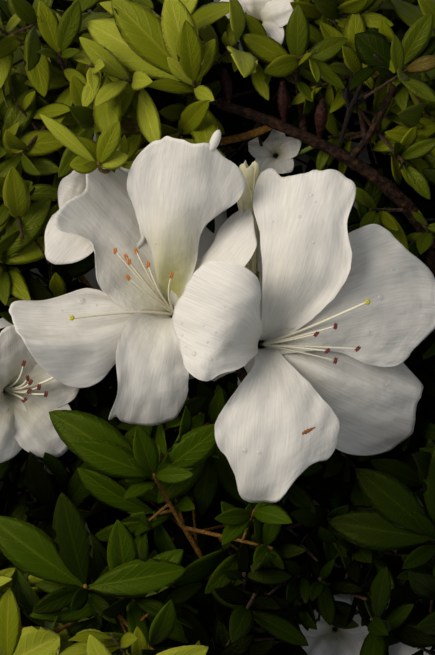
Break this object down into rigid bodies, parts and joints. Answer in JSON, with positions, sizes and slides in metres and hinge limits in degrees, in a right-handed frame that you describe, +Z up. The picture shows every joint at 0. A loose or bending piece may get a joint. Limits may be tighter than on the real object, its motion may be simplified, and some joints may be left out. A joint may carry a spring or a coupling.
{
  "type": "flowering azalea branch",
  "caption": "Cut azalea branch lying down: woody stem and boughs, leafy whorled shoots, white funnel-shaped blooms, buds and a seed capsule.",
  "frame": {"origin": "under the middle of the branch, on the surface that it lies on", "axes": "+Y along the branch from its cut end towards its top, +X to its right, +Z up, the way the blooms face"},
  "size_m": [0.215, 0.2628, 0.0897],
  "materials": {
    "bark": "rough dark brown bark",
    "foliage": "glossy leaf with a dull underside",
    "petal": "thin matt white petal that lets light through",
    "cream_petal": "thin matt cream petal",
    "bud_scale": "satin red-brown scales"
  },
  "bodies": {
    "root": {"main_stem": "bark", "bough_top": "bark", "bough_top_left": "bark", "bough_top_up": "bark", "bough_top_right": "bark", "bough_right": "bark", "bough_blooms": "bark", "bough_left": "bark", "bough_left_up": "bark", "bough_lower": "bark", "bough_bottom": "bark", "leaves_lower_left": "foliage", "leaves_lower_corner": "foliage", "leaves_bottom": "foliage", "leaves_bottom_corner": "foliage", "leaves_bottom_middle": "foliage", "leaves_low_middle": "foliage", "leaves_low_right": "foliage", "leaves_right_lower": "foliage", "leaves_right_corner": "foliage", "leaves_right_edge": "foliage", "leaves_right_upper": "foliage", "leaves_right_outer": "foliage", "leaves_top_right": "foliage", "leaves_twig_right": "foliage", "leaves_twig_middle": "foliage", "leaves_top_middle": "foliage", "leaves_top": "foliage", "leaves_top_bright": "foliage", "leaves_top_left": "foliage", "leaves_top_back": "foliage", "leaves_upper_left": "foliage", "leaves_young_shoot": "foliage", "leaves_left_edge": "foliage", "leaves_left_low": "foliage", "leaves_left_corner": "foliage", "leaves_under_blooms": "foliage", "leaves_middle": "foliage", "bloom_right": "petal", "bloom_left": "petal", "bloom_half_open": "cream_petal", "bloom_upper_left": "petal", "bloom_left_edge": "petal", "bloom_top": "petal", "bloom_behind": "petal", "bloom_low_right": "petal", "bud_left": "bud_scale", "bud_middle": "bud_scale", "bud_right": "bud_scale", "seed_capsule": "bud_scale"}
  },
  "joints": []
}
